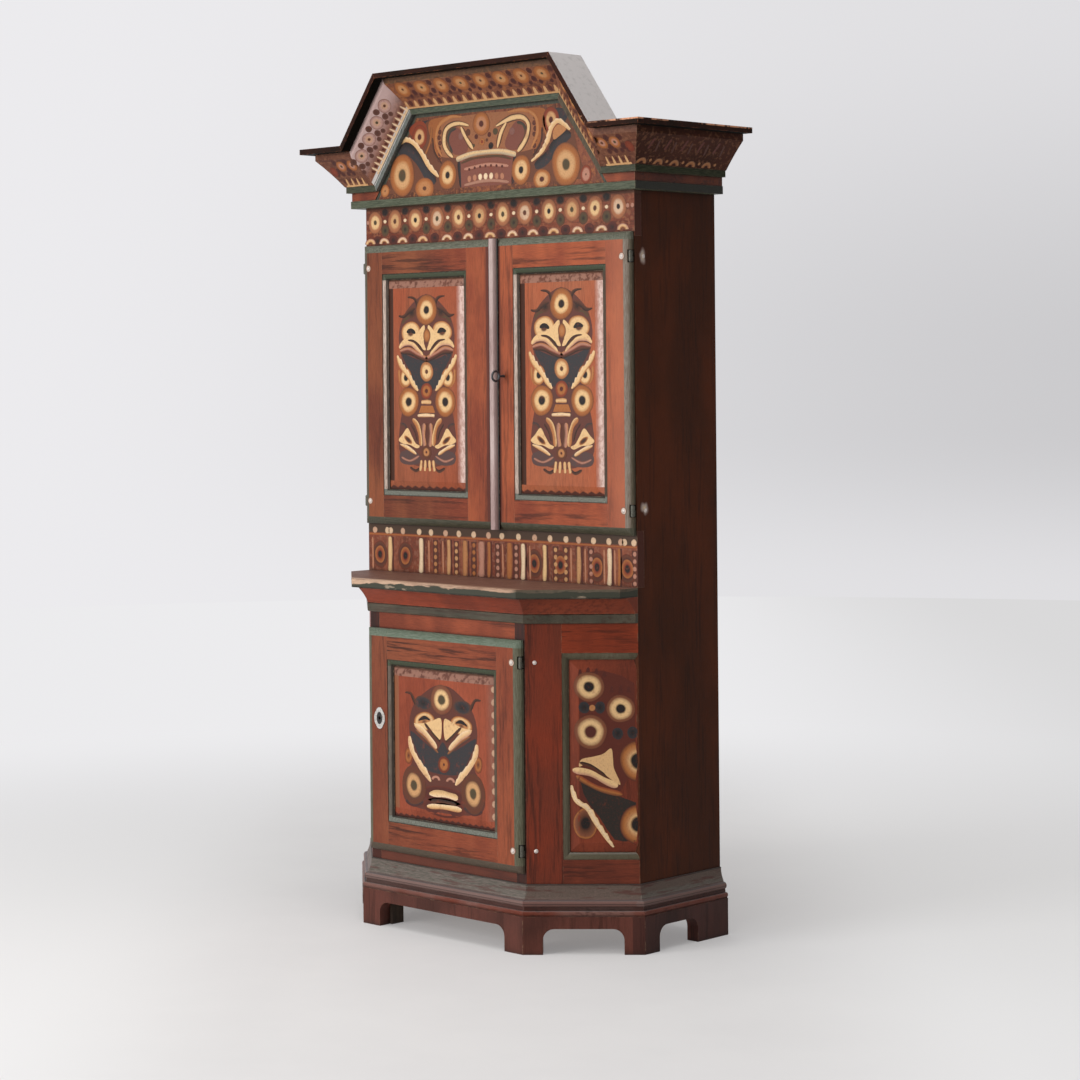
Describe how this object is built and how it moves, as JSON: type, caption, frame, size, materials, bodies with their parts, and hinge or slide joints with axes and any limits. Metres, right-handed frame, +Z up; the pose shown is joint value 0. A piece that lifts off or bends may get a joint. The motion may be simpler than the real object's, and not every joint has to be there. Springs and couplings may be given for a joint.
{
  "type": "painted corner-cut cupboard",
  "caption": "Two-storey painted cupboard with canted lower corners, a shaped cornice, panelled doors on iron hinges and a moulded plinth on bracket feet.",
  "frame": {"origin": "middle of the footprint, on the floor", "axes": "+Z up, the front faces -Y, +X to the right of someone facing the front"},
  "size_m": [1.108, 0.486, 2],
  "materials": {
    "dark_paint": "satin old paint",
    "bare_pine": "matte bare wood",
    "red_brown_paint": "satin old paint",
    "orange_red_paint": "satin old paint",
    "painted_panel": "satin old paint with ornament",
    "green_paint": "satin old paint",
    "plinth_paint": "satin old paint",
    "weathered_cap": "matte worn paint",
    "forged_iron": "dull",
    "pewter": "dull"
  },
  "bodies": {
    "carcass": {"side_board_left": "dark_paint", "side_board_right": "dark_paint", "back_boards": "bare_pine", "shelves": "bare_pine", "upper_floor": "bare_pine", "top_board": "bare_pine", "lower_floor": "bare_pine", "shelf_battens": "bare_pine", "glue_blocks": "bare_pine", "gable_blocks": "bare_pine", "table_board": "red_brown_paint", "apron_board": "red_brown_paint", "frieze_board": "red_brown_paint", "corner_post_right": "red_brown_paint", "corner_post_left": "red_brown_paint", "lower_rails": "red_brown_paint", "cant_rails": "red_brown_paint", "waist_cove": "red_brown_paint", "cornice_band": "red_brown_paint", "gable_board": "red_brown_paint", "cove_ridge": "red_brown_paint", "cove_slopes": "red_brown_paint", "cove_lows": "red_brown_paint", "cove_returns": "red_brown_paint", "cant_panel_right": "painted_panel", "cant_panel_left": "painted_panel", "cant_mouldings": "green_paint", "waist_fillet": "green_paint", "plinth_moulding": "plinth_paint", "foot_board_front": "plinth_paint", "foot_boards_cant": "plinth_paint", "foot_boards_side": "plinth_paint", "cap_ridge": "weathered_cap", "cap_slopes": "weathered_cap", "cap_lows": "weathered_cap", "cap_returns": "weathered_cap", "frame_hinge_leaves": "forged_iron", "hinge_pins": "forged_iron"},
    "upper_left_door": {"upper_left_door_stiles": "orange_red_paint", "upper_left_door_rails": "orange_red_paint", "upper_left_door_panel": "painted_panel", "upper_left_door_mouldings": "green_paint", "upper_left_door_leaves": "forged_iron"},
    "upper_right_door": {"upper_right_door_stiles": "orange_red_paint", "upper_right_door_rails": "orange_red_paint", "upper_right_door_panel": "painted_panel", "upper_right_door_mouldings": "green_paint", "upper_right_door_leaves": "forged_iron", "astragal": "red_brown_paint", "upper_lock_case": "forged_iron"},
    "lower_door": {"lower_door_stiles": "orange_red_paint", "lower_door_rails": "orange_red_paint", "lower_door_panel": "painted_panel", "lower_door_mouldings": "green_paint", "lower_door_leaves": "forged_iron", "lower_lock_case": "forged_iron", "lower_escutcheon": "pewter"},
    "upper_bolt": {"upper_lock_bolt": "forged_iron"},
    "upper_key": {"upper_key": "forged_iron"},
    "lower_bolt": {"lower_lock_bolt": "forged_iron"}
  },
  "joints": [
    {"name": "upper_left_door_hinge", "type": "hinge", "parent": "carcass", "child": "upper_left_door", "pos_m": [-0.435, -0.0398, 1.2605], "axis": [0, 0, -1], "range_deg": [0, 170]},
    {"name": "upper_right_door_hinge", "type": "hinge", "parent": "carcass", "child": "upper_right_door", "pos_m": [0.435, -0.0398, 1.2605], "axis": [0, 0, 1], "range_deg": [0, 170]},
    {"name": "lower_door_hinge", "type": "hinge", "parent": "carcass", "child": "lower_door", "pos_m": [0.247, -0.2078, 0.434], "axis": [0, 0, 1], "range_deg": [0, 170]},
    {"name": "upper_key_turn", "type": "hinge", "parent": "upper_right_door", "child": "upper_key", "pos_m": [0.046, -0.0398, 1.279], "axis": [0, 1, 0], "range_deg": [0, 90]},
    {"name": "upper_bolt_slide", "type": "slide", "parent": "upper_right_door", "child": "upper_bolt", "axis": [-1, 0, 0], "range_m": [0, 0.012]},
    {"name": "lower_bolt_slide", "type": "slide", "parent": "lower_door", "child": "lower_bolt", "axis": [-1, 0, 0], "range_m": [0, 0.012]}
  ],
  "couplings": [
    {"joint": "upper_key_turn", "follows": "upper_bolt_slide", "rad_per_m": 130.89}
  ]
}
